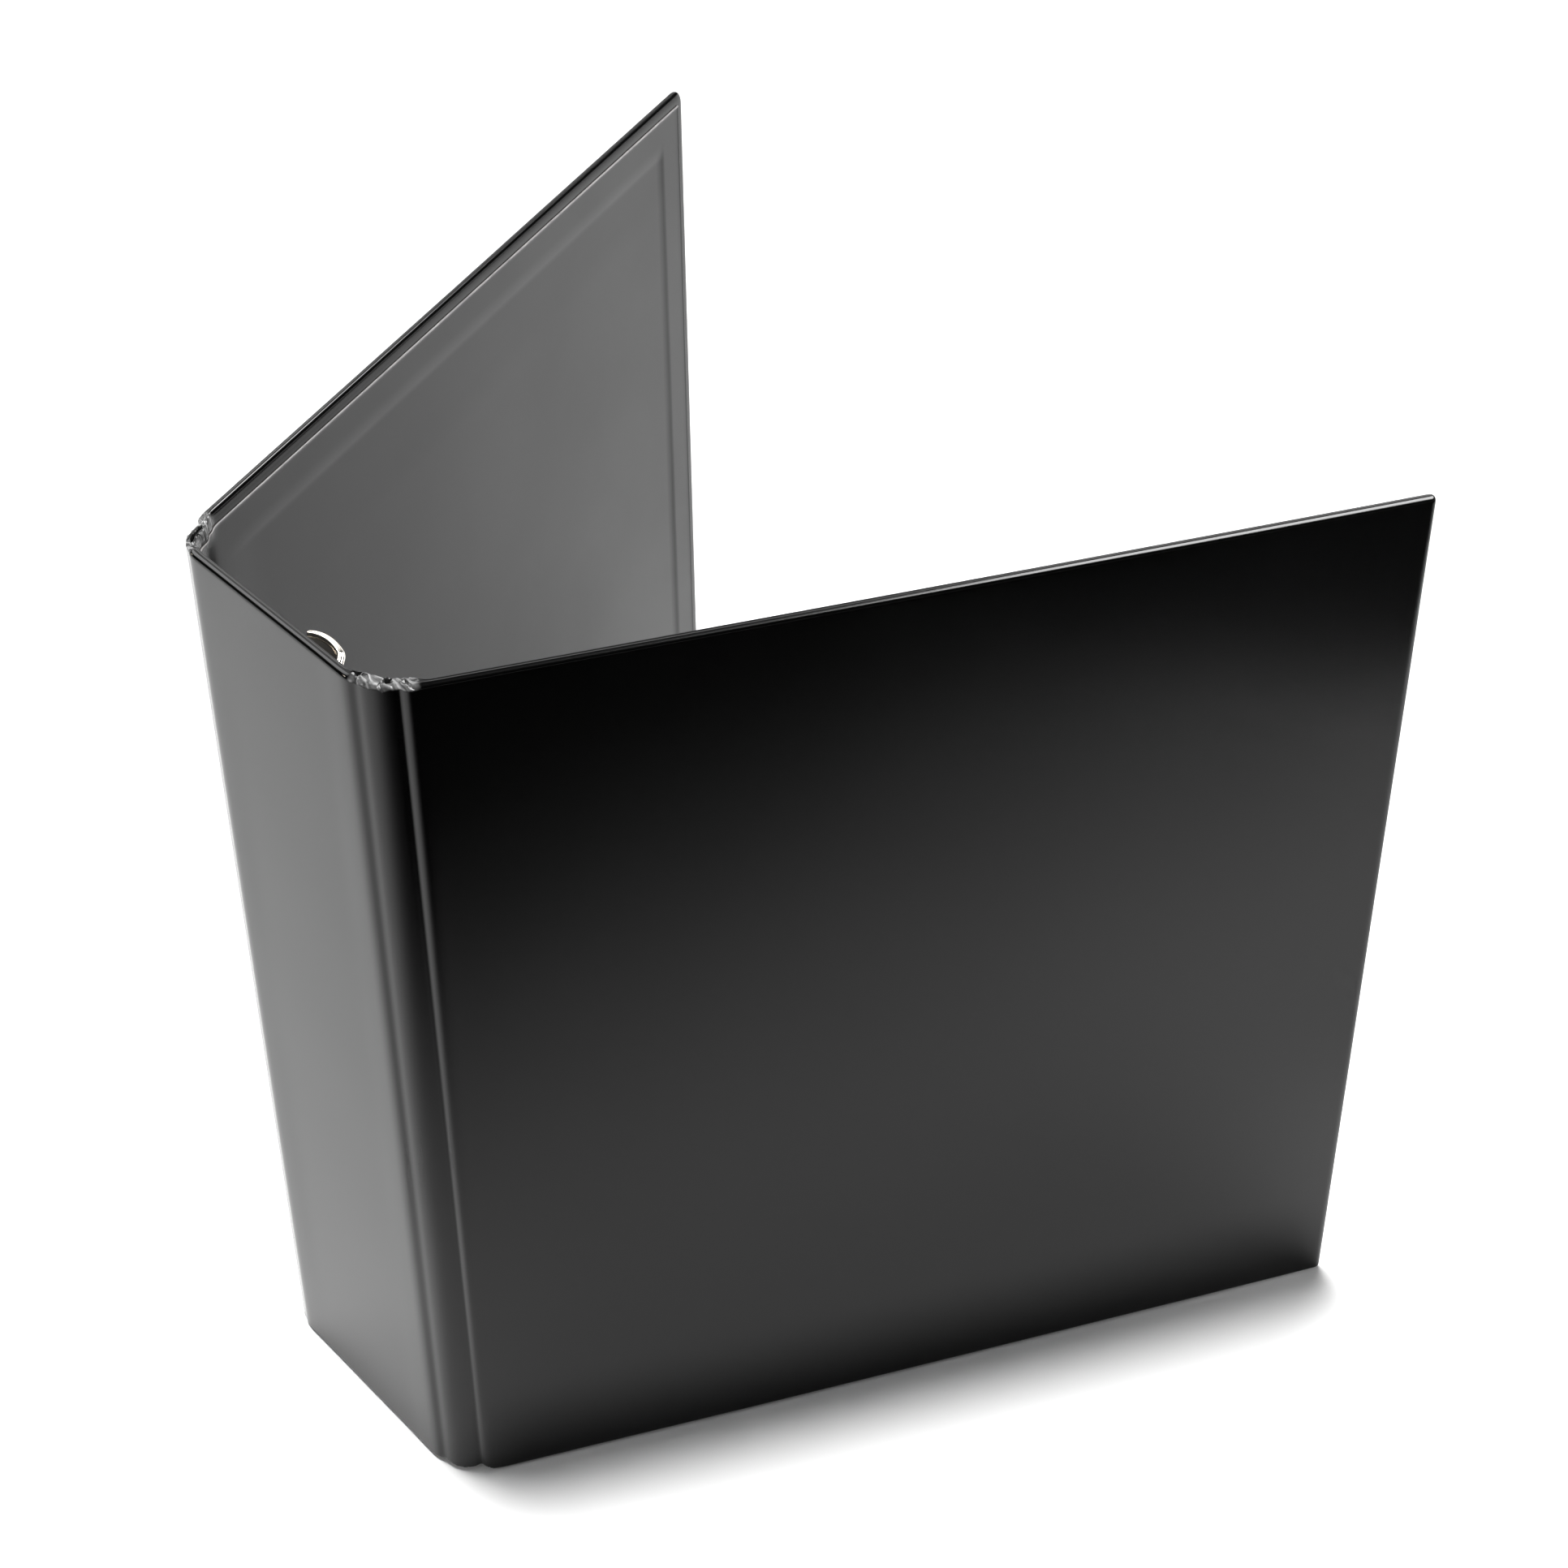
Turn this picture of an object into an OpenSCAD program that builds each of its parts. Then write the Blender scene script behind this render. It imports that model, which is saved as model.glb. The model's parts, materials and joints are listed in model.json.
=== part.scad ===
// Ring binder that stands open on its tail edge.
// X runs along the spine's width, Y from the spine into the binder, Z from tail to head.
// The origin is the middle of the spine's tail edge, at half the spine's thickness.

/* [Case] */
// Height of the case, from tail to head
case_h = 292; // [240:1:320]
// Width of each cover panel, from its hinge to its fore edge
cover_w = 270; // [200:1:300]
// Width of the spine panel
spine_w = 72.6; // [60:0.1:90]
// Width of each narrow strip between the spine and a cover
strip_w = 9.4; // [9:0.1:14]
// Width of each hinge groove between two panels
groove_w = 3; // [3:0.1:5]

/* [Opening angles] */
// Turn of the front strip from the spine's plane
front_strip_turn = 36; // [0:1:48]
// Turn of the front cover from its strip
front_cover_turn = 30.5; // [0:0.5:41]
// Turn of the back strip from the spine's plane
back_strip_turn = 45; // [0:1:61]
// Turn of the back cover from its strip
back_cover_turn = 21; // [0:0.5:28]

/* [Sheet and board] */
// Thickness of the chipboard panels
board_t = 2; // [1.8:0.1:2.4]
// Distance from a panel's hinge edge to its board
board_setback = 2; // [1:0.1:3]
// Thickness of the vinyl that wraps the boards
vinyl_t = 0.45; // [0.3:0.05:0.6]
// Thickness of the liner sheet on the inside
liner_t = 0.3; // [0.2:0.05:0.5]
// Width of the wrap turned in over the boards' inner face
turn_in = 15; // [10:1:20]
// Distance from the case's edge to the liner's cut edge
liner_inset = 4; // [3:0.5:10]
// Radius of the wrap over the boards' edges
edge_r = 1.2; // [0.8:0.1:1.2]

/* [Ring mechanism] */
// Distance between the centres of two neighbouring rings
ring_pitch = 107.95; // [80:0.05:108]
// Clear inside diameter of a closed ring
ring_inner_d = 25.4; // [25:0.1:26]
// Diameter of the ring wire
wire_d = 2.8; // [2.6:0.1:3]
// Length of the arched housing between its end lugs
housing_len = 236; // [230:1:240]
// Width of the housing
housing_w = 25; // [25:0.1:26]
// Height of the housing above the spine's liner
housing_h = 7.8; // [7.8:0.1:8.4]
// Lean of the closed levers from upright
lever_lean = 33; // [20:1:40]

/* [Hidden] */

$fn = 96;
eps = 0.01;

// Colours
vinyl_black = [0.07, 0.07, 0.075];
liner_black = [0.12, 0.12, 0.125];
board_grey = [0.55, 0.50, 0.43];
nickel = [0.78, 0.75, 0.70];
steel = [0.62, 0.62, 0.62];

// Case
panel_t = board_t + 2 * vinyl_t;
outer_y = -panel_t / 2;
hinge_depth = 0.3;
hinge_x = spine_w / 2 + groove_w / 2;
hinge_y = outer_y + hinge_depth;
strip_pitch = strip_w + groove_w;
liner_top = panel_t / 2 + liner_t;
liner_past_edge = 0.8;
liner_hinge_gap = edge_r + liner_past_edge;
web_w = 2.6;
web_t = 0.5;
web_end_gap = 1;

// Ring mechanism: heights are above the spine's liner
mid_z = case_h / 2;
ring_zs = [mid_z - ring_pitch, mid_z, mid_z + ring_pitch];
ring_r = ring_inner_d / 2 + wire_d / 2;
ring_centre_h = 13.8;
ring_low_turn = -62;
ring_tip_gap = 0.05;
sheet_t = 0.8;
wall_h = 2.6;
arch_rise = housing_h - wall_h;
arch_r = (pow(housing_w / 2, 2) + pow(arch_rise, 2)) / (2 * arch_rise);
arch_centre_h = housing_h - arch_r;
ledge_h = 0.9;
ledge_t = 0.7;
ledge_w = 1.7;

// Ring plates: each turns about its outer edge, and sits a little below flat when closed
plate_pivot_x = 10.8;
plate_pivot_h = 2.2;
plate_closed_dip = 4;
plate_outer_lap = 0.1;
plate_middle_gap = 0.15;
plate_reach = plate_pivot_x - plate_middle_gap;
plate_len = housing_len;
stake_r = 1;
stake_from_pivot = 2.7;
stake_head_r = 1.5;
stake_head_t = 0.35;
wire_slot_inner_x = 7.8;
wire_slot_gap = 0.8;
wire_slot_half = wire_d / 2 + wire_slot_gap;

// Levers
lug_len = 8;
lug_h = 6;
lever_pivot_h = 3.4;
lever_pivot_out = 3.5;
lever_pivot_z = housing_len / 2 + lever_pivot_out;
barrel_r = 1.5;
barrel_gap = 0.3;
barrel_half = housing_w / 2 - sheet_t - barrel_gap;
trunnion_r = 1;
trunnion_clear = 0.06;
trunnion_out = 0.6;
trunnion_half = housing_w / 2 + trunnion_out;
lever_w = 16;
lever_len = 14.2;
lever_top_r = 18;
lip_r = 1.1;
tongue_half = 1.5;
tongue_len = 5.5;
tongue_t = 0.7;
tongue_gap = 0.15;
tongue_web_t = 1.2;
tongue_web_in = 2.5;

// Rivets
rivet_zs = [mid_z - 72, mid_z + 72];
rivet_r = 2.3;
rivet_head_r = 4.2;
rivet_head_t = 1.3;
rivet_head_taper = 1;
rivet_flat_r = 5;
rivet_flat_t = 0.7;
rivet_notch_r = 3.6;

// Places

module front_strip_place() {
    translate([hinge_x, hinge_y, 0])
        rotate([0, 0, front_strip_turn])
            translate([0, -hinge_depth, 0])
                children();
}

module front_cover_place() {
    translate([hinge_x, hinge_y, 0])
        rotate([0, 0, front_strip_turn])
            translate([strip_pitch, 0, 0])
                rotate([0, 0, front_cover_turn])
                    translate([0, -hinge_depth, 0])
                        children();
}

module back_strip_place() {
    mirror([1, 0, 0])
        translate([hinge_x, hinge_y, 0])
            rotate([0, 0, back_strip_turn])
                translate([0, -hinge_depth, 0])
                    children();
}

module back_cover_place() {
    mirror([1, 0, 0])
        translate([hinge_x, hinge_y, 0])
            rotate([0, 0, back_strip_turn])
                translate([strip_pitch, 0, 0])
                    rotate([0, 0, back_cover_turn])
                        translate([0, -hinge_depth, 0])
                            children();
}

module spine_place() {
    translate([-spine_w / 2, outer_y, 0])
        children();
}

module mechanism_place() {
    translate([0, liner_top, 0])
        children();
}

// Panels: a panel's outer face is at y = 0 and its hinge edge at x = 0

module rounded_rect(w, h, r) {
    translate([r, 0])
        square([w - 2 * r, h]);
    translate([0, r])
        square([w, h - 2 * r]);
    for (x = [r, w - r], y = [r, h - r])
        translate([x, y])
            circle(r);
}

module panel_envelope(w) {
    intersection() {
        linear_extrude(case_h)
            rounded_rect(w, panel_t, edge_r);
        rotate([90, 0, 90])
            linear_extrude(w)
                rounded_rect(panel_t, case_h, edge_r);
    }
}

module panel_board(w, far_setback) {
    translate([board_setback, vinyl_t, vinyl_t])
        cube([w - board_setback - far_setback, board_t, case_h - 2 * vinyl_t]);
}

// The part of the liner that lies between the turned-in edges of the wrap
module liner_window(w, far_inset) {
    translate([liner_hinge_gap, panel_t - vinyl_t, turn_in])
        cube([w - liner_hinge_gap - far_inset, vinyl_t, case_h - 2 * turn_in]);
}

module panel_wrap(w, far_setback, far_inset) {
    difference() {
        panel_envelope(w);
        panel_board(w, far_setback);
        liner_window(w, far_inset);
    }
}

module panel_liner(w, window_inset, far_inset) {
    liner_window(w, window_inset);
    translate([liner_hinge_gap, panel_t, liner_inset])
        cube([w - liner_hinge_gap - far_inset, liner_t, case_h - 2 * liner_inset]);
}

module at_panel_start() {
    translate([groove_w / 2, 0, 0])
        children();
}

module rivet_bores(low_y, high_y) {
    for (z = rivet_zs)
        translate([0, high_y, z])
            rotate([90, 0, 0])
                cylinder(r = rivet_r, h = high_y - low_y);
}

module spine_board() {
    color(board_grey)
        difference() {
            spine_place()
                panel_board(spine_w, board_setback);
            rivet_bores(outer_y, panel_t);
            for (z = rivet_zs)
                translate([0, outer_y + vinyl_t + rivet_flat_t, z])
                    rotate([90, 0, 0])
                        cylinder(r = rivet_flat_r, h = rivet_flat_t + eps);
        }
}

module front_strip_board() {
    color(board_grey)
        front_strip_place()
            at_panel_start()
                panel_board(strip_w, board_setback);
}

module back_strip_board() {
    color(board_grey)
        back_strip_place()
            at_panel_start()
                panel_board(strip_w, board_setback);
}

module front_cover_board() {
    color(board_grey)
        front_cover_place()
            at_panel_start()
                panel_board(cover_w, vinyl_t);
}

module back_cover_board() {
    color(board_grey)
        back_cover_place()
            at_panel_start()
                panel_board(cover_w, vinyl_t);
}

module spine_wrap() {
    color(vinyl_black)
        spine_place()
            panel_wrap(spine_w, board_setback, liner_hinge_gap);
}

module front_strip_wrap() {
    color(vinyl_black)
        front_strip_place()
            at_panel_start()
                panel_wrap(strip_w, board_setback, liner_hinge_gap);
}

module back_strip_wrap() {
    color(vinyl_black)
        back_strip_place()
            at_panel_start()
                panel_wrap(strip_w, board_setback, liner_hinge_gap);
}

module front_cover_wrap() {
    color(vinyl_black)
        front_cover_place()
            at_panel_start()
                panel_wrap(cover_w, vinyl_t, turn_in);
}

module back_cover_wrap() {
    color(vinyl_black)
        back_cover_place()
            at_panel_start()
                panel_wrap(cover_w, vinyl_t, turn_in);
}

module spine_liner() {
    color(liner_black)
        difference() {
            spine_place()
                panel_liner(spine_w, liner_hinge_gap, liner_hinge_gap);
            rivet_bores(0, panel_t);
        }
}

module front_strip_liner() {
    color(liner_black)
        front_strip_place()
            at_panel_start()
                panel_liner(strip_w, liner_hinge_gap, liner_hinge_gap);
}

module back_strip_liner() {
    color(liner_black)
        back_strip_place()
            at_panel_start()
                panel_liner(strip_w, liner_hinge_gap, liner_hinge_gap);
}

module front_cover_liner() {
    color(liner_black)
        front_cover_place()
            at_panel_start()
                panel_liner(cover_w, turn_in, liner_inset);
}

module back_cover_liner() {
    color(liner_black)
        back_cover_place()
            at_panel_start()
                panel_liner(cover_w, turn_in, liner_inset);
}

// The vinyl that bridges a hinge groove, joined to the panel before it
module hinge_web(panel_end) {
    translate([panel_end, hinge_depth - web_t / 2, web_end_gap])
        cube([web_w, web_t, case_h - 2 * web_end_gap]);
}

module front_spine_hinge_web() {
    color(vinyl_black)
        translate([0, outer_y, 0])
            hinge_web(spine_w / 2);
}

module back_spine_hinge_web() {
    color(vinyl_black)
        mirror([1, 0, 0])
            translate([0, outer_y, 0])
                hinge_web(spine_w / 2);
}

module front_cover_hinge_web() {
    color(vinyl_black)
        front_strip_place()
            at_panel_start()
                hinge_web(strip_w);
}

module back_cover_hinge_web() {
    color(vinyl_black)
        back_strip_place()
            at_panel_start()
                hinge_web(strip_w);
}

// Ring mechanism: y = 0 is the liner's face under the housing

module arch_profile() {
    intersection() {
        translate([0, arch_centre_h])
            difference() {
                circle(arch_r);
                circle(arch_r - sheet_t);
            }
        translate([-housing_w / 2, wall_h - eps])
            square([housing_w, housing_h]);
    }
}

module wall_profile() {
    translate([housing_w / 2 - sheet_t, 0])
        square([sheet_t, wall_h]);
    translate([housing_w / 2 - sheet_t - ledge_w, ledge_h])
        square([ledge_w + eps, ledge_t]);
}

module end_lug() {
    translate([housing_w / 2 - sheet_t, 0, housing_len / 2 - eps])
        difference() {
            cube([sheet_t, lug_h, lug_len]);
            translate([-eps, lever_pivot_h, lever_pivot_out + eps])
                rotate([0, 90, 0])
                    cylinder(r = trunnion_r + trunnion_clear, h = sheet_t + 2 * eps);
        }
}

module wire_slot() {
    translate([wire_slot_inner_x, wall_h, -wire_slot_half])
        cube([housing_w, housing_h, 2 * wire_slot_half]);
}

module ring_housing() {
    color(nickel)
        mechanism_place()
            difference() {
                translate([0, 0, mid_z]) {
                    translate([0, 0, -housing_len / 2])
                        linear_extrude(housing_len) {
                            arch_profile();
                            wall_profile();
                            mirror([1, 0])
                                wall_profile();
                        }
                    for (side = [0, 1], end = [0, 1])
                        mirror([side, 0, 0])
                            mirror([0, 0, end])
                                end_lug();
                }
                for (side = [0, 1], z = ring_zs)
                    mirror([side, 0, 0])
                        translate([0, 0, z])
                            wire_slot();
                rivet_bores(wall_h, 2 * housing_h);
            }
}

module housing_rivet() {
    flat_y = outer_y + vinyl_t - liner_top;
    rotate([-90, 0, 0])
        translate([0, 0, flat_y]) {
            cylinder(r = rivet_flat_r, h = rivet_flat_t);
            cylinder(r = rivet_r, h = housing_h - flat_y);
        }
    difference() {
        translate([0, housing_h - rivet_head_t / 2, 0])
            rotate([-90, 0, 0])
                cylinder(r1 = rivet_head_r, r2 = rivet_head_r - rivet_head_taper, h = 1.5 * rivet_head_t);
        translate([0, arch_centre_h, -rivet_head_r - 1])
            cylinder(r = arch_r, h = 2 * rivet_head_r + 2);
    }
}

module housing_rivets() {
    color(steel)
        mechanism_place()
            for (z = rivet_zs)
                translate([0, 0, z])
                    housing_rivet();
}

// A ring plate's frame: the origin is its pivot edge, and -x runs along the plate to the middle
module front_plate_place() {
    translate([plate_pivot_x, plate_pivot_h, 0])
        rotate([0, 0, plate_closed_dip])
            children();
}

module front_plate() {
    difference() {
        front_plate_place()
            difference() {
                translate([-plate_reach, -sheet_t / 2, mid_z - plate_len / 2])
                    cube([plate_reach + plate_outer_lap, sheet_t, plate_len]);
                for (z = ring_zs)
                    translate([-stake_from_pivot, sheet_t, z])
                        rotate([90, 0, 0])
                            cylinder(r = stake_r, h = 2 * sheet_t);
            }
        for (z = rivet_zs)
            translate([0, housing_h, z])
                rotate([90, 0, 0])
                    cylinder(r = rivet_notch_r, h = housing_h);
    }
}

module front_ring_plate() {
    color(steel)
        mechanism_place()
            front_plate();
}

module back_ring_plate() {
    color(steel)
        mechanism_place()
            mirror([1, 0, 0])
                front_plate();
}

// The half ring on the front side: an arc of wire whose foot is staked through the ring plate
module front_half_ring(z) {
    tip_turn = 90 - asin(ring_tip_gap / ring_r);
    intersection() {
        translate([0, ring_centre_h, z])
            rotate([0, 0, ring_low_turn])
                rotate_extrude(angle = tip_turn - ring_low_turn)
                    translate([ring_r, 0])
                        circle(d = wire_d);
        front_plate_place()
            translate([-3 * ring_r, sheet_t / 2, z - wire_d])
                cube([6 * ring_r, 4 * ring_r, 2 * wire_d]);
    }
    front_plate_place()
        translate([-stake_from_pivot, sheet_t / 2 + eps, z])
            rotate([90, 0, 0]) {
                cylinder(r = stake_r, h = sheet_t + eps);
                translate([0, 0, sheet_t + eps])
                    cylinder(r = stake_head_r, h = stake_head_t);
            }
}

module front_ring(index) {
    color(nickel)
        mechanism_place()
            front_half_ring(ring_zs[index]);
}

module back_ring(index) {
    color(nickel)
        mechanism_place()
            mirror([1, 0, 0])
                front_half_ring(ring_zs[index]);
}

module lower_front_half_ring() {
    front_ring(0);
}

module middle_front_half_ring() {
    front_ring(1);
}

module upper_front_half_ring() {
    front_ring(2);
}

module lower_back_half_ring() {
    back_ring(0);
}

module middle_back_half_ring() {
    back_ring(1);
}

module upper_back_half_ring() {
    back_ring(2);
}

// The lever's thumb plate: it rises along +y from the barrel, and its curved end has a rolled lip
module thumb_plate() {
    arc_y = lever_len - lever_top_r;
    half_arc = asin(lever_w / 2 / lever_top_r);
    translate([0, 0, -sheet_t / 2])
        linear_extrude(sheet_t)
            intersection() {
                translate([-lever_w / 2, 0])
                    square([lever_w, lever_len]);
                translate([0, arc_y])
                    circle(lever_top_r - lip_r);
            }
    translate([0, arc_y, 0])
        rotate([0, 0, 90 - half_arc])
            rotate_extrude(angle = 2 * half_arc)
                translate([lever_top_r - lip_r, 0])
                    circle(lip_r);
}

module lever() {
    rotate([0, 90, 0]) {
        cylinder(r = barrel_r, h = 2 * barrel_half, center = true);
        cylinder(r = trunnion_r, h = 2 * trunnion_half, center = true);
    }
    rotate([lever_lean, 0, 0])
        thumb_plate();
    translate([-tongue_half, tongue_gap - lever_pivot_h, -tongue_web_in])
        cube([2 * tongue_half, lever_pivot_h, tongue_web_t]);
    translate([-tongue_half, tongue_gap - lever_pivot_h, -tongue_len])
        cube([2 * tongue_half, tongue_t, tongue_len - tongue_web_in + eps]);
}

module upper_lever() {
    color(nickel)
        mechanism_place()
            translate([0, lever_pivot_h, mid_z + lever_pivot_z])
                lever();
}

module lower_lever() {
    color(nickel)
        mechanism_place()
            translate([0, lever_pivot_h, mid_z - lever_pivot_z])
                mirror([0, 0, 1])
                    lever();
}

spine_board();
front_strip_board();
back_strip_board();
front_cover_board();
back_cover_board();
spine_wrap();
front_strip_wrap();
back_strip_wrap();
front_cover_wrap();
back_cover_wrap();
spine_liner();
front_strip_liner();
back_strip_liner();
front_cover_liner();
back_cover_liner();
front_spine_hinge_web();
front_cover_hinge_web();
back_spine_hinge_web();
back_cover_hinge_web();
ring_housing();
housing_rivets();
front_ring_plate();
back_ring_plate();
upper_front_half_ring();
middle_front_half_ring();
lower_front_half_ring();
upper_back_half_ring();
middle_back_half_ring();
lower_back_half_ring();
upper_lever();
lower_lever();
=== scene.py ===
import json
import math

import bpy
import numpy as np
from mathutils import Matrix, Vector


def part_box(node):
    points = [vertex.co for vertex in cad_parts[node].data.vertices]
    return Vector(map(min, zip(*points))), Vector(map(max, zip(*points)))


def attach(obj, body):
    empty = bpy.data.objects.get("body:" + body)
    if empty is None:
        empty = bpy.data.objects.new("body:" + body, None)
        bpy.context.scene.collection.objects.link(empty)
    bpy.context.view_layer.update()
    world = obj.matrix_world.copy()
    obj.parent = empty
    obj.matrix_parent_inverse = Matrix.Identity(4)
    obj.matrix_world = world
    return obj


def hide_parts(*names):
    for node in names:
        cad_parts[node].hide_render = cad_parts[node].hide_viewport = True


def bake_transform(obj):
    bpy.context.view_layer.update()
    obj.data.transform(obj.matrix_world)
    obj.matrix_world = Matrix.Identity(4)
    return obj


MM = 0.001

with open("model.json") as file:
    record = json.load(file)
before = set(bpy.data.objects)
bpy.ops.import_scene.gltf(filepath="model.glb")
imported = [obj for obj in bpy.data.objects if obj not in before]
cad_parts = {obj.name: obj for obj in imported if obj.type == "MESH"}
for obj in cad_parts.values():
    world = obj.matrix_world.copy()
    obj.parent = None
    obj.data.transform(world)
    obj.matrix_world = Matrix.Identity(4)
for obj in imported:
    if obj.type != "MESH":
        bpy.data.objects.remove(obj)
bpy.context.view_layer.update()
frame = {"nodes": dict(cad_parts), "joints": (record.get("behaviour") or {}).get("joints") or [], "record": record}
joint_place = {j["name"]: [c / MM for c in j["pos_m"][:2]] for j in frame["joints"]}

# Case, in millimetres
case_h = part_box("spine_wrap")[1].z / MM
half_spine = 30.3
spine_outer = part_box("spine_wrap")[0].y / MM
panel_t = 2.9
outer_n = -0.3
inner_n = outer_n + panel_t
liner_t = 0.3
liner_lift = 0.03
liner_inset = 4
turn_in = 15
cover_start = 7
cover_end = 271.35
fore_rim = (2.2, 1.0)
outer_rim = (1.5, 1.35)
outer_spread = {"front": (0.2, -0.2), "back": (1.3, 0.1)}
inner_rim = {"spine": (0.8, 0.9), "front": (0.8, 0.9), "back": (1.3, 3.0)}
sheet_rim = (0.12, 0.12)
rim_valley = 0.05
cover_turn = {"front": 66.5, "back": 66}
fore_corner_r = {"front": 1.2, "back": 4}


# Numbers and curves


def smooth(t):
    t = np.clip(t, 0, 1)
    return t * t * (3 - 2 * t)


def tri(t):
    """A triangle wave from -1 to 1."""
    return 2 * np.abs(2 * (t - np.floor(t + 0.5))) - 1


def natural_cubic(points):
    """A function of a knot number that runs smoothly through the points."""
    p = np.array(points, float)
    knots = np.concatenate([[0], np.cumsum(np.linalg.norm(np.diff(p, axis=0), axis=1))])
    h = np.diff(knots)
    n = len(p)
    a = np.zeros((n, n))
    b = np.zeros_like(p)
    a[0, 0] = a[-1, -1] = 1
    for i in range(1, n - 1):
        a[i, i - 1 : i + 2] = h[i - 1], 2 * (h[i - 1] + h[i]), h[i]
        b[i] = 6 * ((p[i + 1] - p[i]) / h[i] - (p[i] - p[i - 1]) / h[i - 1])
    m = np.linalg.solve(a, b)

    def at(knot_number):
        t = np.interp(knot_number, np.arange(n), knots)
        i = np.clip(np.searchsorted(knots, t) - 1, 0, n - 2)
        left = ((knots[i + 1] - t) / h[i])[:, None]
        right = ((t - knots[i]) / h[i])[:, None]
        hh = (h[i] ** 2)[:, None] / 6
        return (
            left * p[i]
            + right * p[i + 1]
            + ((left**3 - left) * m[i] + (right**3 - right) * m[i + 1]) * hh
        )

    return at


def fine_ends(start, end, step, fine=0.04):
    """Steps from start to end, very short ones first and last so that neighbours shade alike."""
    count = max(3, int(round((end - start) / step)) + 1)
    inside = np.linspace(start, end, count)[1:-1]
    return np.concatenate([[start, start + fine], inside, [end - fine, end]])


def end_offsets():
    """Distances from the head or tail: closer together near it and at the turn-in's edge."""
    near = [0, 0.3, 0.6, 1, 1.5, 2.2, 3.1, 4.3, 5.9, 8, 10.5]
    past_turn_in = [12.6, 13.8, 14.6, 15.4, 16.4, 18, 21, 25]
    return np.array(near + past_turn_in, float)


def face_heights(low, high):
    """Heights from low to high, close together near both; each may be one number per station."""
    near = end_offsets()
    even_start = 30
    even = np.linspace(even_start, case_h - even_start, 48)
    full = np.concatenate([near, even, case_h - near[::-1]]) / case_h
    low, high = np.atleast_1d(low)[:, None], np.atleast_1d(high)[:, None]
    return low + full[None, :] * (high - low)


# Plan frames: u runs along a panel from its hinge, n towards the inside


class Plan:
    def __init__(self, side, origin, turn):
        sign = 1 if side == "front" else -1
        t = math.radians(turn)
        self.origin = np.array(origin, float)
        self.along = np.array([sign * math.cos(t), math.sin(t)])
        self.inward = np.array([-sign * math.sin(t), math.cos(t)])

    def at(self, u, n):
        u = np.asarray(u, float)[..., None]
        n = np.asarray(n, float)[..., None]
        return self.origin + u * self.along + n * self.inward


def side_plans(side):
    """The spine's, strip's and cover's plan frames on one side."""
    first = joint_place[side + "_strip_hinge"]
    second = joint_place[side + "_cover_hinge"]
    sign = 1 if side == "front" else -1
    turn = math.degrees(math.atan2(second[1] - first[1], sign * (second[0] - first[0])))
    return {
        "spine": Plan(side, (0, 0), 0),
        "strip": Plan(side, first, turn),
        "cover": Plan(side, second, cover_turn[side]),
    }


plans = {side: side_plans(side) for side in ("front", "back")}


# Slow ripples in the panels


def ripple(u, z, size, phase):
    """Low waves over a panel, size mm high."""
    # Each is (radians per mm along u, radians per mm along z, phase, weight)
    waves = (
        (0.046, 0.021, 0.4, 1.0),
        (-0.031, 0.052, 1.9, 0.9),
        (0.083, -0.037, 4.2, 0.45),
        (0.017, 0.097, 2.7, 0.4),
        (0.061, 0.118, 5.1, 0.22),
    )
    total = sum(w * np.sin(ku * u + kz * z + p + phase) for ku, kz, p, w in waves)
    return size * total / 2


def edge_gap(z):
    """Distance to the nearer of head and tail."""
    return np.minimum(z, case_h - z)


# Lofts: closed cross-sections, out over the head, down the inside and back under the tail

rim_steps = 9
valley_steps = 10
cap_steps = 2 * rim_steps + valley_steps


def cap_rows(outer, inner, top, sign, rims, valley):
    """Points over the head or under the tail, from the outer face to the inner one.

    rims are the (width, height) of the rounding at each face, and valley the dip between the
    two ridges. sign is 1 at the head and -1 at the tail.
    """
    thick = np.linalg.norm(inner - outer, axis=1)
    (out_w, out_h), (in_w, in_h) = (np.broadcast_to(rim, (len(outer), 2)).T for rim in rims)
    out_w, in_w = np.minimum(out_w, 0.48 * thick), np.minimum(in_w, 0.46 * thick)
    turn = np.radians(np.linspace(0, 90, rim_steps + 1)[1:])
    rows = [(out_w * (1 - math.cos(a)), out_h * (1 - math.sin(a))) for a in turn]
    for t in np.linspace(0, 1, valley_steps + 2)[1:-1]:
        dip = smooth(t / 0.3) - smooth((t - 0.7) / 0.3)
        rows.append((out_w + (thick - in_w - out_w) * t, valley * dip))
    rows += [(thick - in_w * (1 - math.cos(a)), in_h * (1 - math.sin(a))) for a in turn[::-1]]
    points = np.zeros((len(outer), cap_steps, 3))
    for k, (across, drop) in enumerate(rows):
        points[:, k, :2] = outer + (inner - outer) * (across / thick)[:, None]
        points[:, k, 2] = top - sign * drop
    return points


def rim_height(rim):
    return np.atleast_2d(rim)[:, 1]


def loft(outer, inner, z_out, z_in, rims, valley=rim_valley):
    """Rows of closed loops from the outer and inner faces and their heights.

    outer and inner are (stations, heights, 2) in plan, z_out and z_in are (stations, heights).
    """
    valley = np.broadcast_to(np.asarray(valley, float), (len(outer),))
    top = z_out[:, -1] + rim_height(rims[0])
    low = z_out[:, 0] - rim_height(rims[0])
    head = cap_rows(outer[:, -1], inner[:, -1], top, 1, rims, valley)
    tail = cap_rows(outer[:, 0], inner[:, 0], low, -1, rims, np.minimum(valley, 1))
    out_face = np.concatenate([outer, z_out[..., None]], axis=2)
    in_face = np.concatenate([inner, z_in[..., None]], axis=2)[:, ::-1]
    return np.concatenate([out_face, head, in_face, tail[:, ::-1]], axis=1)


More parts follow.
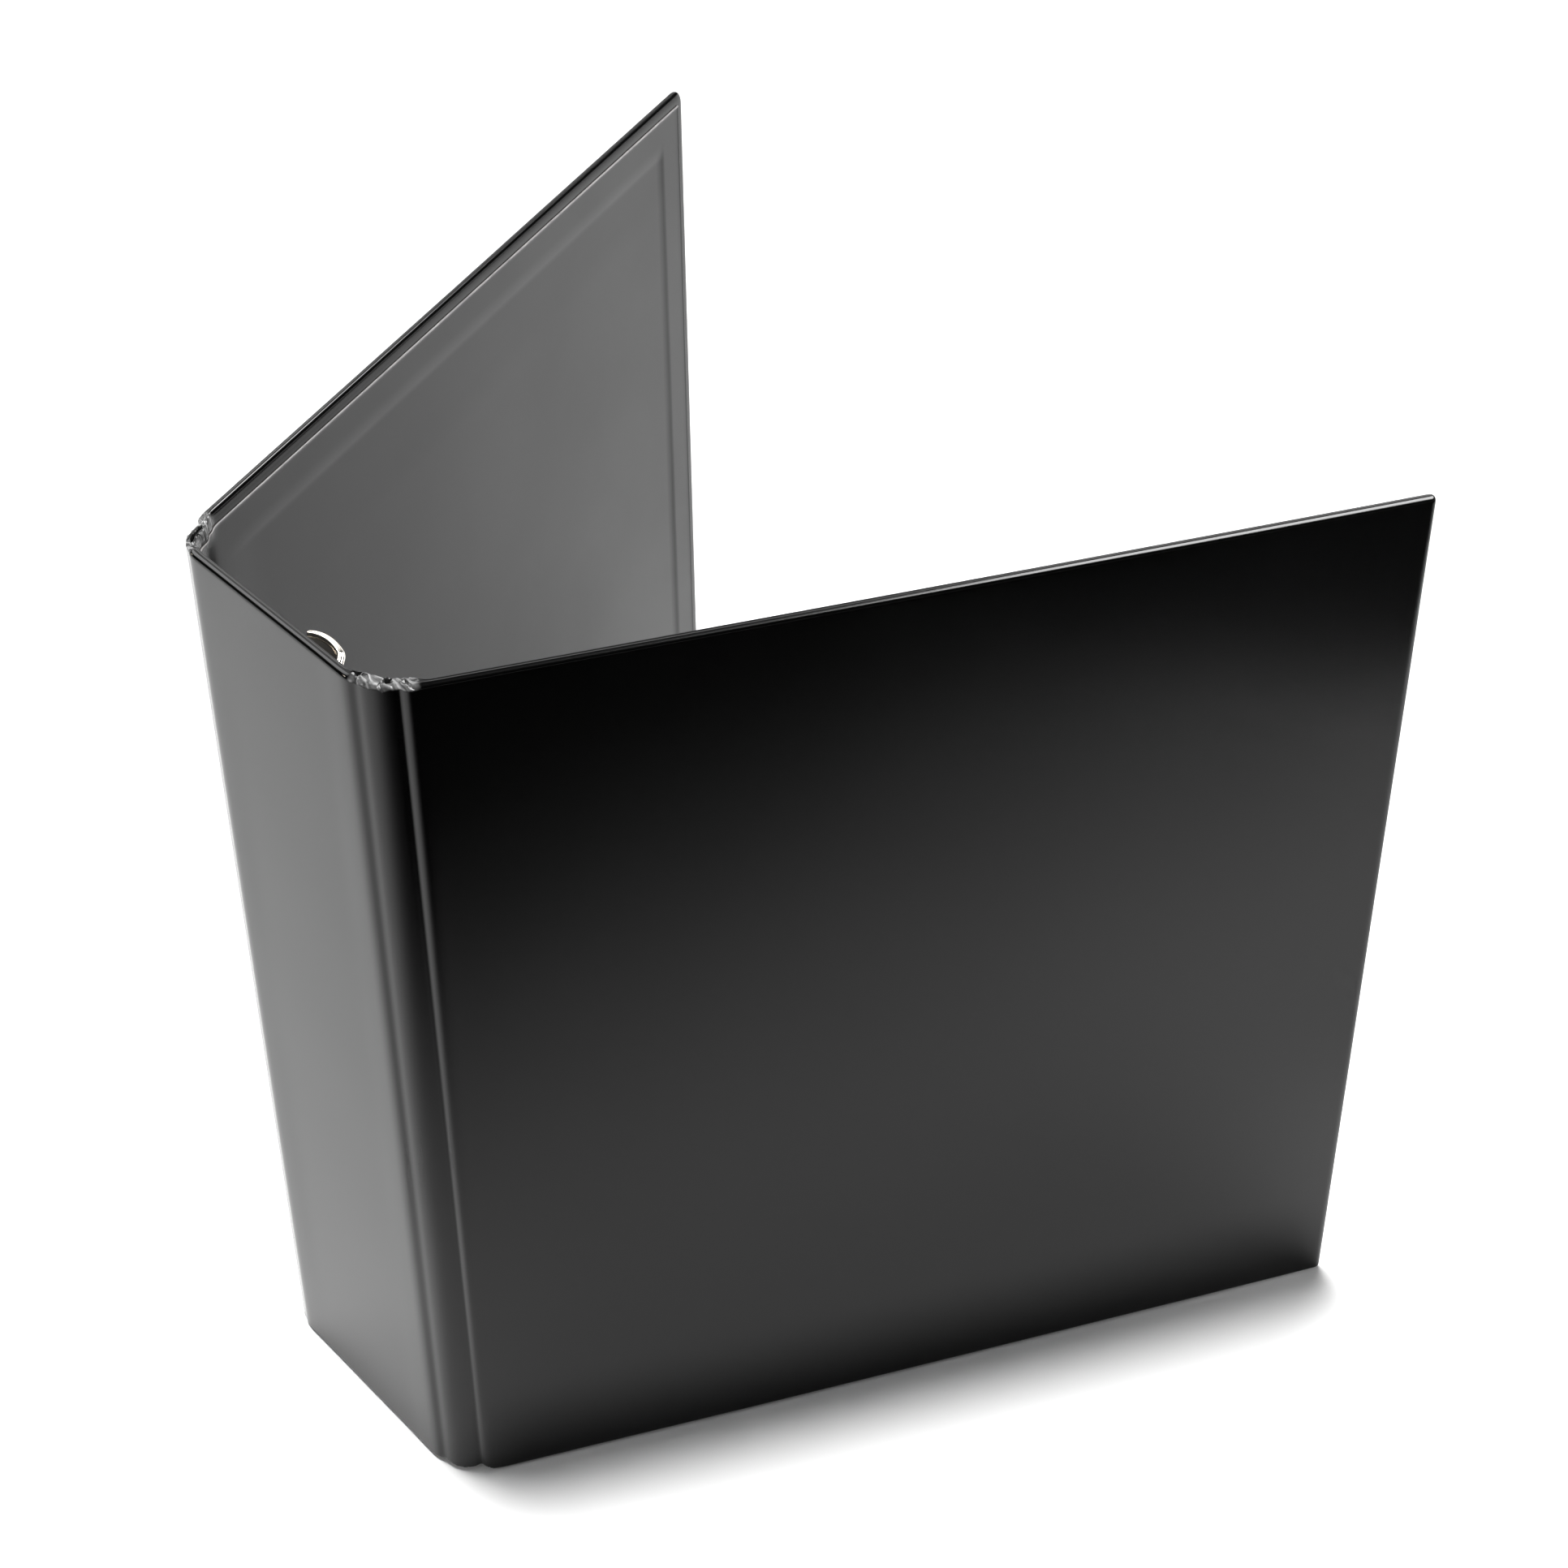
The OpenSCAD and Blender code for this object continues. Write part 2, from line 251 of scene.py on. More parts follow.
def end_pairs(heights):
    """Loop numbers on the outer half and their partners on the inner half, from tail to head."""
    half = cap_steps // 2
    tail = 2 * heights + cap_steps
    a = list(range(tail + half, tail + cap_steps)) + list(range(heights + half))
    b = list(range(tail + half - 1, tail - 1, -1)) + list(
        range(2 * heights + cap_steps - 1, heights + half - 1, -1)
    )
    return a, b


def loft_mesh(name, rows, materials, edge_material=False, close_end=False, flip=False):
    """A smooth mesh object from rows of loops in millimetres.

    edge_material puts the second material on the head, the tail and the closed end.
    """
    stations, ring = rows.shape[:2]
    heights = (ring - 2 * cap_steps) // 2
    faces = []
    slots = []
    caps = set(range(heights - 1, heights + cap_steps + 1))
    caps |= set(range(2 * heights + cap_steps - 2, ring))
    for i in range(stations - 1):
        for j in range(ring):
            k = (j + 1) % ring
            faces.append((i * ring + j, (i + 1) * ring + j, (i + 1) * ring + k, i * ring + k))
            slots.append(1 if edge_material and j in caps else 0)
    if close_end:
        a, b = end_pairs(heights)
        last = (stations - 1) * ring
        for p, q, r, s in zip(a, a[1:], b[1:], b):
            faces.append((last + p, last + s, last + r, last + q))
            slots.append(1 if edge_material else 0)
    if flip:
        faces = [f[::-1] for f in faces]
    mesh = bpy.data.meshes.new(name)
    mesh.from_pydata((rows.reshape(-1, 3) * MM).tolist(), [], faces)
    for material in materials:
        mesh.materials.append(material)
    mesh.polygons.foreach_set("material_index", slots)
    mesh.polygons.foreach_set("use_smooth", [True] * len(faces))
    mesh.update()
    piece = bpy.data.objects.new(name, mesh)
    bpy.context.scene.collection.objects.link(piece)
    return piece


# Materials


class Nodes:
    """A material's node tree, with a short way to add and join nodes."""

    def __init__(self, name):
        self.material = bpy.data.materials.new(name)
        self.material.use_nodes = True
        self.tree = self.material.node_tree
        self.shader = self.tree.nodes["Principled BSDF"]
        self.place = self.add("ShaderNodeTexCoord").outputs["Object"]

    def add(self, kind, **settings):
        node = self.tree.nodes.new(kind)
        for key, value in settings.items():
            setattr(node, key, value)
        return node

    def join(self, a, b):
        self.tree.links.new(a, b)

    def noise(self, scale, detail=3, stretch=(1, 1, 1)):
        mapping = self.add("ShaderNodeMapping")
        mapping.inputs["Scale"].default_value = stretch
        self.join(self.place, mapping.inputs["Vector"])
        noise = self.add("ShaderNodeTexNoise")
        noise.inputs["Scale"].default_value = scale
        noise.inputs["Detail"].default_value = detail
        self.join(mapping.outputs["Vector"], noise.inputs["Vector"])
        return noise.outputs[0]

    def ramp(self, value, low, high, start=0.3, end=0.7):
        """A colour that runs from low to high as value goes from start to end."""
        ramp = self.add("ShaderNodeValToRGB")
        ramp.color_ramp.elements[0].position = start
        ramp.color_ramp.elements[1].position = end
        ramp.color_ramp.elements[0].color = (*low, 1)
        ramp.color_ramp.elements[1].color = (*high, 1)
        self.join(value, ramp.inputs["Fac"])
        return ramp.outputs["Color"]

    def span(self, value, low, high):
        """A number that runs from low to high as value goes from 0.3 to 0.7."""
        node = self.add("ShaderNodeMapRange")
        node.inputs["From Min"].default_value = 0.3
        node.inputs["From Max"].default_value = 0.7
        node.inputs["To Min"].default_value = low
        node.inputs["To Max"].default_value = high
        self.join(value, node.inputs["Value"])
        return node.outputs["Result"]

    def bump(self, height, strength, distance):
        node = self.add("ShaderNodeBump")
        node.inputs["Strength"].default_value = strength
        node.inputs["Distance"].default_value = distance
        self.join(height, node.inputs["Height"])
        self.join(node.outputs["Normal"], self.shader.inputs["Normal"])


def wrap_vinyl():
    """Black glossy vinyl with faint clouds in its polish, painted pale on its crumpled folds as a painted
    highlight.
    """
    m = Nodes("wrap_vinyl")
    # Painted highlight: the crumpled folds get a pale, streaked base colour from the attribute that the pleats set
    painted_sheen = m.add("ShaderNodeAttribute", attribute_name="painted_sheen").outputs["Fac"]
    streaks = m.add("ShaderNodeMath", operation="MULTIPLY_ADD")
    m.join(painted_sheen, streaks.inputs[0])
    m.join(m.span(m.noise(420, 2, (1, 1, 0.4)), 0.25, 1), streaks.inputs[1])
    m.join(m.span(m.noise(14), 0.0004, 0.0018), streaks.inputs[2])
    tint = m.ramp(streaks.outputs[0], (0, 0, 0), (0.5, 0.5, 0.5), 0, 1)
    m.join(tint, m.shader.inputs["Base Color"])
    m.join(m.span(m.noise(9, 2), 0.145, 0.185), m.shader.inputs["Roughness"])
    m.shader.inputs["IOR"].default_value = 1.33
    m.bump(m.noise(900, 2), 0.05, 0.00002)
    return m.material


def liner_vinyl():
    """Charcoal liner sheet with a fine grain."""
    m = Nodes("liner_vinyl")
    tint = m.ramp(m.noise(11), (0.004, 0.004, 0.0042), (0.009, 0.009, 0.0092))
    m.join(tint, m.shader.inputs["Base Color"])
    m.join(m.span(m.noise(16, 4), 0.32, 0.38), m.shader.inputs["Roughness"])
    m.shader.inputs["IOR"].default_value = 1.38
    m.bump(m.noise(1600, 3), 0.10, 0.00003)
    return m.material


def cut_edge():
    """The liner's sealed edge, coloured light grey."""
    m = Nodes("liner_cut_edge")
    tint = m.ramp(m.noise(300, 2), (0.25, 0.238, 0.235), (0.40, 0.38, 0.375))
    m.join(tint, m.shader.inputs["Base Color"])
    m.join(m.span(m.noise(200), 0.35, 0.5), m.shader.inputs["Roughness"])
    return m.material


def chipboard():
    """Grey-brown board with layers across its height."""
    m = Nodes("chipboard")
    tint = m.ramp(m.noise(240, 6, (1, 1, 4)), (0.30, 0.26, 0.21), (0.46, 0.41, 0.34))
    m.join(tint, m.shader.inputs["Base Color"])
    m.shader.inputs["Roughness"].default_value = 0.9
    m.bump(m.noise(900, 4), 0.3, 0.0001)
    return m.material


def plated(name, low, high, rough_low, rough_high, scale):
    """Bright metal with faint clouding."""
    m = Nodes(name)
    m.join(m.ramp(m.noise(scale), low, high), m.shader.inputs["Base Color"])
    m.join(m.span(m.noise(scale * 2, 4), rough_low, rough_high), m.shader.inputs["Roughness"])
    m.shader.inputs["Metallic"].default_value = 1
    m.bump(m.noise(1200, 2), 0.04, 0.00002)
    return m.material


looks = {
    "wrap_vinyl": wrap_vinyl(),
    "liner_vinyl": liner_vinyl(),
    "board": chipboard(),
    "nickel": plated("nickel", (0.70, 0.66, 0.60), (0.80, 0.76, 0.70), 0.10, 0.17, 60),
    "steel": plated("steel", (0.50, 0.50, 0.50), (0.62, 0.62, 0.61), 0.28, 0.42, 90),
}
cut_edge_look = cut_edge()


def paint_cad_nodes():
    """Each CAD node takes the look of its material slot."""
    for part in frame["record"]["subparts"]:
        node = frame["nodes"][part["node"]]
        node.data.materials.clear()
        node.data.materials.append(looks[part["material_slot"]])


# Panels


def face_grid(stations, rim, low=0, high=case_h):
    """Station and height grids of a face, leaving room for its rounding at head and tail."""
    z = face_heights(low + rim_height(rim), high - rim_height(rim))
    z = np.broadcast_to(z, (len(stations), z.shape[1]))
    return np.repeat(stations[:, None], z.shape[1], axis=1), z


def spine_outer_face(u, z):
    """The spine's outer offset; its dents die out towards the hinges."""
    calm = smooth((half_spine - np.abs(u)) / 8)
    return spine_outer + (0.07 + ripple(u, z, 0.05, 0.8)) * calm


def spine_inner_face(u, z):
    window = smooth((edge_gap(z) - turn_in) / 2)
    return -spine_outer - 0.4 * window * smooth((half_spine - np.abs(u)) / 3)


def spine_wrap():
    stations = fine_ends(-half_spine, half_spine, 2.4)
    rims = (outer_rim, inner_rim["spine"])
    u, z_out = face_grid(stations, rims[0])
    z_in = face_grid(stations, rims[1])[1]
    plan = plans["front"]["spine"]
    outer = plan.at(u, spine_outer_face(u, z_out))
    inner = plan.at(u, spine_inner_face(u, z_in))
    piece = loft_mesh("spine_case", loft(outer, inner, z_out, z_in, rims), [looks["wrap_vinyl"]])
    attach(piece, "spine")
    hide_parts("spine_wrap")


def bow(side, u):
    """A cover's slight bow, in mm inward."""
    share = (u - cover_start) / (cover_end - cover_start)
    if side == "front":
        return 0.3 * share**2 - 1.25 * share * (1 - share)
    return 0.5 * share * (1.5 - share)


def cover_outer_face(side, u, z):
    calm = smooth((u - cover_start) / 14)
    return outer_n + bow(side, u) + ripple(u, z, 0.045, 0 if side == "front" else 2.2) * calm


def cover_inner_face(side, u, z):
    """The inner offset: lower inside the turned-in border, with a faint ridge below the head."""
    calm = smooth((u - cover_start) / 14)
    window = smooth((edge_gap(z) - turn_in) / 2) * smooth((cover_end - u - turn_in) / 2)
    # The ridge slants from 42 mm below the head by the hinge to 32 mm by the fore edge
    ridge_drop = 42 - 10 * (u - 60) / 195
    ridge = np.exp(-(((case_h - z - ridge_drop) / 3.2) ** 2)) * smooth((u - 30) / 40)
    relief = 0.09 * ridge + ripple(u, z, 0.035, 3.1)
    return inner_n + bow(side, u) + calm * window * (relief - 0.38)


def cover_stations():
    """Stations along a cover and around its fore edge, and how far its faces draw in there."""
    flat = cover_end - fore_rim[0]
    spread = fine_ends(cover_start, cover_end - 21, 4.5)
    # Closer together at the turn-in's edge, then around the fore edge
    late = cover_end - np.array([19, 17.4, 16.6, 15.8, 15, 14.2, 13, 11, 8.5, 6.2, 4.6, 3.4, 2.6])
    turns = np.radians([0, 10, 20, 30, 40, 50, 60, 70, 80, 90])
    u = np.concatenate([spread, late, flat + fore_rim[0] * np.sin(turns)])
    inset = np.concatenate([np.zeros(len(spread) + len(late)), fore_rim[1] * (1 - np.cos(turns))])
    return u, inset


def corner_drop(u, radius):
    """How far the head lies below its full height at the rounded fore corner."""
    past = np.clip(u - (cover_end - radius), 0, radius)
    return radius - np.sqrt(radius**2 - past**2 * 0.98)


def cover_wrap(side):
    stations, inset = cover_stations()
    drop = corner_drop(stations, fore_corner_r[side])
    rims = (outer_rim, inner_rim[side])
    u, z_out = face_grid(stations, rims[0], drop, case_h - drop)
    z_in = face_grid(stations, rims[1], drop, case_h - drop)[1]
    outer = cover_outer_face(side, u, z_out) + inset[:, None]
    inner = cover_inner_face(side, u, z_in) - inset[:, None]
    plan = plans[side]["cover"]
    rows = loft(plan.at(u, outer), plan.at(u, inner), z_out, z_in, rims)
    name = side + "_cover_case"
    flip = side == "back"
    piece = loft_mesh(name, rows, [looks["wrap_vinyl"]], close_end=True, flip=flip)
    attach(piece, side + "_cover")
    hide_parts(side + "_cover_wrap", side + "_cover_board")


# Hinges: knots along the plan from the spine over the strip to the cover. Each is
# (panel, outer u, outer n, lift of the tail, inner u, inner n,
#  front side's inner n at head and tail, back side's inner n at head and tail)

hinge_knots = (
    ("spine", 29.3, -1.447, 0, 29.3, 1.45, 1.45, 1.45),
    ("spine", 30.3, -1.447, 0, 30.3, 1.45, 1.45, 1.45),
    ("spine", 32.2, -1.437, 0.02, 32.2, 1.45, 1.6, 1.5),
    ("spine", 34.0, -1.32, 0.2, 33.9, 1.4, 2.3, 1.6),
    ("spine", 35.6, -0.95, 0.6, 35.2, 1.1, 3.1, 1.8),
    ("spine", 36.9, -0.38, 1.1, 36.2, 0.85, 3.8, 2.1),
    ("strip", 0.69, 0.75, 1.5, 0.8, 1.8, 4.6, 2.6),
    ("strip", 1.8, 0.18, 1.2, 1.7, 1.65, 4.7, 2.7),
    ("strip", 3.2, -0.35, 0.9, 2.7, 2.2, 4.6, 2.8),
    ("strip", 4.6, -0.6, 0.75, 4.3, 2.55, 4.4, 2.9),
    ("strip", 6.2, -0.56, 0.7, 6.2, 2.62, 4.1, 3.2),
    ("strip", 7.8, -0.24, 0.75, 7.8, 2.58, 4.2, 3.9),
    ("strip", 9.2, 0.2, 1.0, 9.0, 2.35, 4.5, 4.1),
    ("strip", 10.4, 0.7, 1.4, 9.9, 2.05, 4.6, 4.1),
    ("strip", 11.4, 1.1, 1.7, 10.7, 1.9, 4.6, 4.0),
    ("cover", 0.2, 0.95, 1.7, 0.6, 1.9, 4.8, 4.1),
    ("cover", 1.1, 0.15, 1.3, 1.5, 2.05, 4.8, 3.9),
    ("cover", 2.0, -0.15, 0.8, 2.4, 2.3, 4.7, 3.5),
    ("cover", 3.2, -0.27, 0.4, 3.4, 2.5, 4.3, 3.0),
    ("cover", 4.5, -0.3, 0.15, 4.6, 2.58, 3.7, 2.7),
    ("cover", 6, -0.3, 0, 6, 2.6, 2.9, 2.6),
    ("cover", 7, -0.3, 0, 7, 2.6, 2.65, 2.6),
    ("cover", 8, -0.3, 0, 8, 2.6, 2.6, 2.6),
)
first_knot = 1
middle_knot = 10
last_knot = len(hinge_knots) - 2

# The head drops by this share of the tail's lift
head_share = 0.12

# Pleats: where the cover hinge's run starts, each side's phase, and the loop points they reach
# past the cap. The depth is the back side's open head.
cover_run_start = 14.2
pleat_phase = {"front": 0.0, "back": 3.7}
pleat_reach = 12
hollow_depth = 6


def hinge_curves(side):
    """Outer, inner and filled inner plan curves, and the lift, as functions of the knot number."""
    plan = plans[side]
    outer = natural_cubic([plan[k[0]].at(k[1], k[2]) for k in hinge_knots])
    inner = natural_cubic([plan[k[0]].at(k[4], k[5]) for k in hinge_knots])
    end_column = 6 if side == "front" else 7
    inner_end = natural_cubic([plan[k[0]].at(k[4], k[end_column]) for k in hinge_knots])

    def lift(knot):
        return np.interp(knot, np.arange(len(hinge_knots)), [k[3] for k in hinge_knots])

    return outer, inner, inner_end, lift


def hinge_stations(side, start, end, step):
    """Knot numbers at even steps along the outer curve."""
    outer = hinge_curves(side)[0]
    dense = np.linspace(start, end, 600)
    run = np.linalg.norm(np.diff(outer(dense), axis=0), axis=1)
    length = np.concatenate([[0], np.cumsum(run)])
    return np.interp(fine_ends(0, length[-1], step), length, dense)


def pleats(rows, knot, run, phase):
    """Crumples a hinge's head and tail, where the wrap is gathered, and says how much painted highlight each point
    gets.

    rows are the loft's loops, moved in place; knot and run give each station's knot number
    and its distance along the hinge. The result is 0 to 1 for each point.
    """
    heights = (rows.shape[1] - 2 * cap_steps) // 2
    # Plan directions across and along the hinge at each station
    inward = rows[:, heights + cap_steps - 1, :2] - rows[:, heights, :2]
    inward /= np.linalg.norm(inward, axis=1)[:, None]
    along = np.stack([inward[:, 1], -inward[:, 0]], axis=1)
    first, last, fade = 3.4, 18, 1.2
    zone = smooth((knot - first) / fade) * (1 - smooth((knot - last) / fade))
    painted_sheen = np.zeros(rows.shape[:2])
    ring = rows.shape[1]
    for end in (1, -1):
        top = rows[:, heights + cap_steps // 2, 2] if end == 1 else rows[:, -cap_steps // 2, 2]
        edge = rows[:, heights + rim_steps, 2] if end == 1 else rows[:, -rim_steps, 2]
        top = np.maximum(top * end, edge * end) * end
        order = np.arange(ring)
        if end == 1:
            offset = order - (heights + cap_steps / 2)
        else:
            offset = (order + (cap_steps + ring) / 2) % ring - ring / 2
        for j in range(ring):
            if abs(offset[j]) > cap_steps / 2 + pleat_reach:
                continue
            depth = np.abs(top - rows[:, j, 2])
            start, reach = (0.5, 0.7) if offset[j] * end < 0 else (0.8, 4)
            hold = zone * (1 - smooth((depth - start) / reach))
            # Triangle waves along the run, slanted across the rim by q, make flat-sided folds
            q = offset[j] / 7
            s = run + phase + 0.5 * np.sin(1.7 * run + phase) + 0.35 * q
            size = 0.6 + 0.4 * np.sin(0.9 * run + 2 * phase)
            push = 0.12 * tri(s / 2.3 + 0.31 * q) + 0.08 * tri(s / 1.1 - 0.45 * q + 0.3)
            fold = tri(s / 2.9 + 0.42 * q + 0.6)
            rise = 0.26 * fold + 0.12 * tri(s / 1.1 + 0.8 * q)
            slide = 0.2 * tri(s / 1.9 + 0.7 * q + 0.1)
            # Painted highlight: paler on the fold crests near the top of the rim, fading deeper down as painted
            # shade
            facet = (0.5 + 0.5 * fold) * (0.6 + 0.4 * tri(s / 1.5 + 0.9 * q))
            painted_sheen[:, j] = np.maximum(painted_sheen[:, j], hold * (0.12 + 0.88 * facet))
            hold = hold * size
            rows[:, j, :2] += (hold * push)[:, None] * inward + (hold * slide)[:, None] * along
            rows[:, j, 2] += end * hold * np.minimum(rise - 0.1, 0.15)
    return painted_sheen


def hinge_inner(side, knot, z):
    """Inner plan points of a hinge: its grooves fill up where the wrap is turned in."""
    _, inner_at, inner_end_at, _ = hinge_curves(side)
    near_end = (1 - smooth((edge_gap(z) - 1.5) / 9))[..., None]
    return inner_at(knot)[:, None, :] * (1 - near_end) + inner_end_at(knot)[:, None, :] * near_end


def hollow(side, knot):
    """How deep the head gapes between the outer rim and the turned-in edge."""
    if side == "back":
        opening = smooth((knot - 7.4) / 1.2) * (1 - smooth((knot - 12) / 1.2))
        return rim_valley + hollow_depth * opening
    # Each is (knot, half width in knots, depth)
    pits = ((4.2, 0.5, 1.2), (11, 0.55, 2.2), (16, 0.5, 0.5))
    return rim_valley + sum(d * np.exp(-(((knot - k) / w) ** 2)) for k, w, d in pits)


def hinge_wrap(side, which):
    """The wrap across one hinge, up to the middle of the strip."""
    start, end = (first_knot, middle_knot) if which == 0 else (middle_knot, last_knot)
    knot = hinge_stations(side, start, end, 0.2)
    outer_at, _, _, lift_at = hinge_curves(side)
    lift = lift_at(knot)
    # The inner rounding goes from the spine's to the cover's; the outer one spreads in between
    share = smooth((knot - 5) / 10)[:, None]
    spread = smooth((knot - 4.5) / 2)[:, None] * (1 - smooth((knot - 14) / 3)[:, None])
    rims = (
        np.array(outer_rim) + spread * outer_spread[side],
        np.array(inner_rim["spine"]) * (1 - share) + np.array(inner_rim[side]) * share,
    )
    z_out = face_grid(knot, rims[0], lift, case_h - head_share * lift)[1]
    z_in = face_grid(knot, rims[1], lift, case_h - head_share * lift)[1]
    outer = np.repeat(outer_at(knot)[:, None, :], z_out.shape[1], axis=1)
    rows = loft(outer, hinge_inner(side, knot, z_in), z_out, z_in, rims, valley=hollow(side, knot))
    walk = np.linalg.norm(np.diff(outer[:, 0], axis=0), axis=1)
    run = np.concatenate([[0], np.cumsum(walk)]) + (0 if which == 0 else cover_run_start)
    painted_sheen = pleats(rows, knot, run, pleat_phase[side])
    # The pit floors get less painted highlight and stay dark, as painted shade
    pit = np.clip(hollow(side, knot) - rim_valley, 0, 1)[:, None]
    pit_start = z_out.shape[1] + rim_steps
    painted_sheen[:, pit_start : pit_start + valley_steps + 3] *= 1 - 0.9 * pit
    rows[..., 2] = np.clip(rows[..., 2], 0, case_h)
    name = f"{side}_{('strip', 'cover')[which]}_hinge_case"
    piece = loft_mesh(name, rows, [looks["wrap_vinyl"]], flip=side == "back")
    # Stores the painted highlight of the folds on each point
    piece.data.attributes.new("painted_sheen", "FLOAT", "POINT").data.foreach_set("value", painted_sheen.ravel())
    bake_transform(piece)
    if which == 0:
        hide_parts(f"{side}_spine_hinge_web", f"{side}_strip_wrap", f"{side}_strip_board")
    else:
        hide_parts(f"{side}_cover_hinge_web")


# Liners

liner_low = liner_inset + sheet_rim[1]
liner_looks = [looks["liner_vinyl"], cut_edge_look]


def bead(gap):
    """The extra thickness of the liner's sealed edge, at a distance from it."""
    return 0.14 * (1 - smooth((gap - 0.25) / 0.5))


def liner_grid(stations):
    return face_grid(stations, sheet_rim, liner_inset, case_h - liner_inset)


def liner_loft(low, high, z):
    return loft(low, high, z, z, (sheet_rim, sheet_rim), valley=0)


def spine_liner():
    stations = fine_ends(-half_spine, half_spine, 2.4)
    u, z = liner_grid(stations)
    inner = spine_inner_face(u, z)
    plan = plans["front"]["spine"]
    top = inner + liner_t + bead(edge_gap(z) - liner_low)
    rows = liner_loft(plan.at(u, inner + liner_lift), plan.at(u, top), z)
    piece = loft_mesh("spine_lining", rows, liner_looks, edge_material=True)
    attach(piece, "spine")
    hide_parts("spine_liner")


def cover_liner(side):
    end = cover_end - liner_inset
    near = end - np.array([15.5, 13.5, 11.9, 11.1, 10.3, 9.5, 8.7, 7.5, 5.5, 3, 1.2, 0.6, 0.3, 0])
    stations = np.concatenate([fine_ends(cover_start, end - 18, 4.5), near])
    u, z = liner_grid(stations)
    inner = cover_inner_face(side, u, z)
    plan = plans[side]["cover"]
    top = inner + liner_t + bead(np.minimum(edge_gap(z) - liner_low, end - u))
    rows = liner_loft(plan.at(u, inner + liner_lift), plan.at(u, top), z)
    name = side + "_cover_lining"
    flip = side == "back"
    piece = loft_mesh(name, rows, liner_looks, edge_material=True, close_end=True, flip=flip)
    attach(piece, side + "_cover")
    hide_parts(side + "_cover_liner")


def hinge_liner(side, which):
    start, end = (first_knot, middle_knot) if which == 0 else (middle_knot, last_knot)
    knot = hinge_stations(side, start, end, 0.35)
    z = liner_grid(knot)[1]
    inner = hinge_inner(side, knot, z)
    along = np.gradient(inner, axis=0)
    along /= np.linalg.norm(along, axis=2)[..., None]
    sign = 1 if side == "front" else -1
    inward = np.stack([-sign * along[..., 1], sign * along[..., 0]], axis=2)
    top = (liner_t + bead(edge_gap(z) - liner_low))[..., None] * inward
    rows = liner_loft(inner + liner_lift * inward, inner + top, z)
    name = f"{side}_{('strip', 'cover')[which]}_hinge_lining"
    piece = loft_mesh(name, rows, liner_looks, edge_material=True, flip=side == "back")
    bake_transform(piece)
    if which == 0:
        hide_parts(side + "_strip_liner")


# Levers, each in its pivot's frame: x across, y up the thumb plate, z out of its hollow face

lever_lean = 33
thumb_w = 16
thumb_len = 14.2
thumb_top_r = 18
lip_r = 1.1
metal_t = 0.8
barrel_r = 1.5
barrel_half = 11.4
trunnion_half = 13.1


class Shape:
    """Points and faces gathered for one mesh, in millimetres."""

    def __init__(self):
        self.points = []
        self.faces = []

    def tube(self, loops):
        """A closed solid through loops of points, with flat ends."""
        base = len(self.points)
        count = len(loops[0])
        self.points += [tuple(p) for loop in loops for p in loop]
        for i in range(len(loops) - 1):
            for j in range(count):
                k = (j + 1) % count
                a = base + i * count
                self.faces.append((a + j, a + k, a + count + k, a + count + j))
        self.faces.append(tuple(range(base + count - 1, base - 1, -1)))
        last = base + (len(loops) - 1) * count
        self.faces.append(tuple(range(last, last + count)))


def lip_line(x):
    """Height of the lip's middle line over the pivot; it droops at one end."""
    droop = 0.36 * max(0, x - 5.2) ** 2
    return thumb_len - thumb_top_r + math.sqrt((thumb_top_r - lip_r) ** 2 - x**2) - droop


def thumb_plate(shape):
    """A plate hollowed towards the thumb."""
    loops = []
    half = thumb_w / 2 - 0.6 * lip_r
    for a in np.linspace(-half, half, 33):
        top = lip_line(a)
        across = 1 - (2 * a / thumb_w) ** 2
        run = np.linspace(0, 1, 21)
        hollow = -1.5 * across**0.8 * np.sin(np.pi * np.clip(run * 0.92 + 0.04, 0, 1)) ** 1.2
        front = [(a, t * top, h + metal_t / 2) for t, h in zip(run, hollow)]
        back = [(a, t * top, h - metal_t / 2) for t, h in zip(run, hollow)]
        loops.append(front + back[::-1])
    shape.tube(loops)


def rolled_lip(shape):
    """The plate's edge rolled into a bead, with the seam of the roll along it."""
    half = thumb_w / 2 - 0.4 * lip_r
    loops = []
    for x in half * np.sin(np.linspace(-math.pi / 2, math.pi / 2, 49)):
        slope = math.atan((lip_line(x + 0.01) - lip_line(x - 0.01)) / 0.02)
        loop = []
        for phi in np.linspace(0, 2 * math.pi, 32, endpoint=False):
            r = lip_r - 0.2 * math.exp(-(((phi - 0.95) / 0.22) ** 2))
            out = r * math.cos(phi)
            y = lip_line(x) + out * math.cos(slope)
            loop.append((x - out * math.sin(slope), y, r * math.sin(phi)))
        loops.append(loop)
    shape.tube(loops)


def barrel(shape):
    """The pivot barrel with a trunnion at each end."""
    shoulder = trunnion_half - barrel_half
    profile = [(0, 0.8), (0.2, 1), (shoulder, 1), (shoulder, 1.35), (shoulder + 0.2, barrel_r)]
    ends = [(-trunnion_half + d, r) for d, r in profile]
    loops = []
    for x, r in ends + [(-x, r) for x, r in ends[::-1]]:
        turns = np.linspace(0, 2 * math.pi, 32, endpoint=False)
        loops.append([(x, r * math.cos(t), r * math.sin(t)) for t in turns])
    shape.tube(loops)


def tongue(shape):
    """The bent tongue that presses on the ring plates, in the upright frame."""
    line = [(0.0, -0.6), (-1.4, -1.3), (-2.5, -1.9), (-2.95, -2.8), (-2.95, -4.2), (-2.8, -5.5)]
    at = natural_cubic(line)
    middle = at(np.linspace(0, len(line) - 1, 18))
    along = np.gradient(middle, axis=0)
    along /= np.linalg.norm(along, axis=1)[:, None]
    top = [(-1.5, 0.25), (-1.4, 0.35), (1.4, 0.35), (1.5, 0.25)]
    corners = top + [(x, -n) for x, n in top[::-1]]
    loops = []
    for (y, z), (dy, dz) in zip(middle, along):
        loops.append([(x, y - n * dz, z + n * dy) for x, n in corners])
    shape.tube(loops)


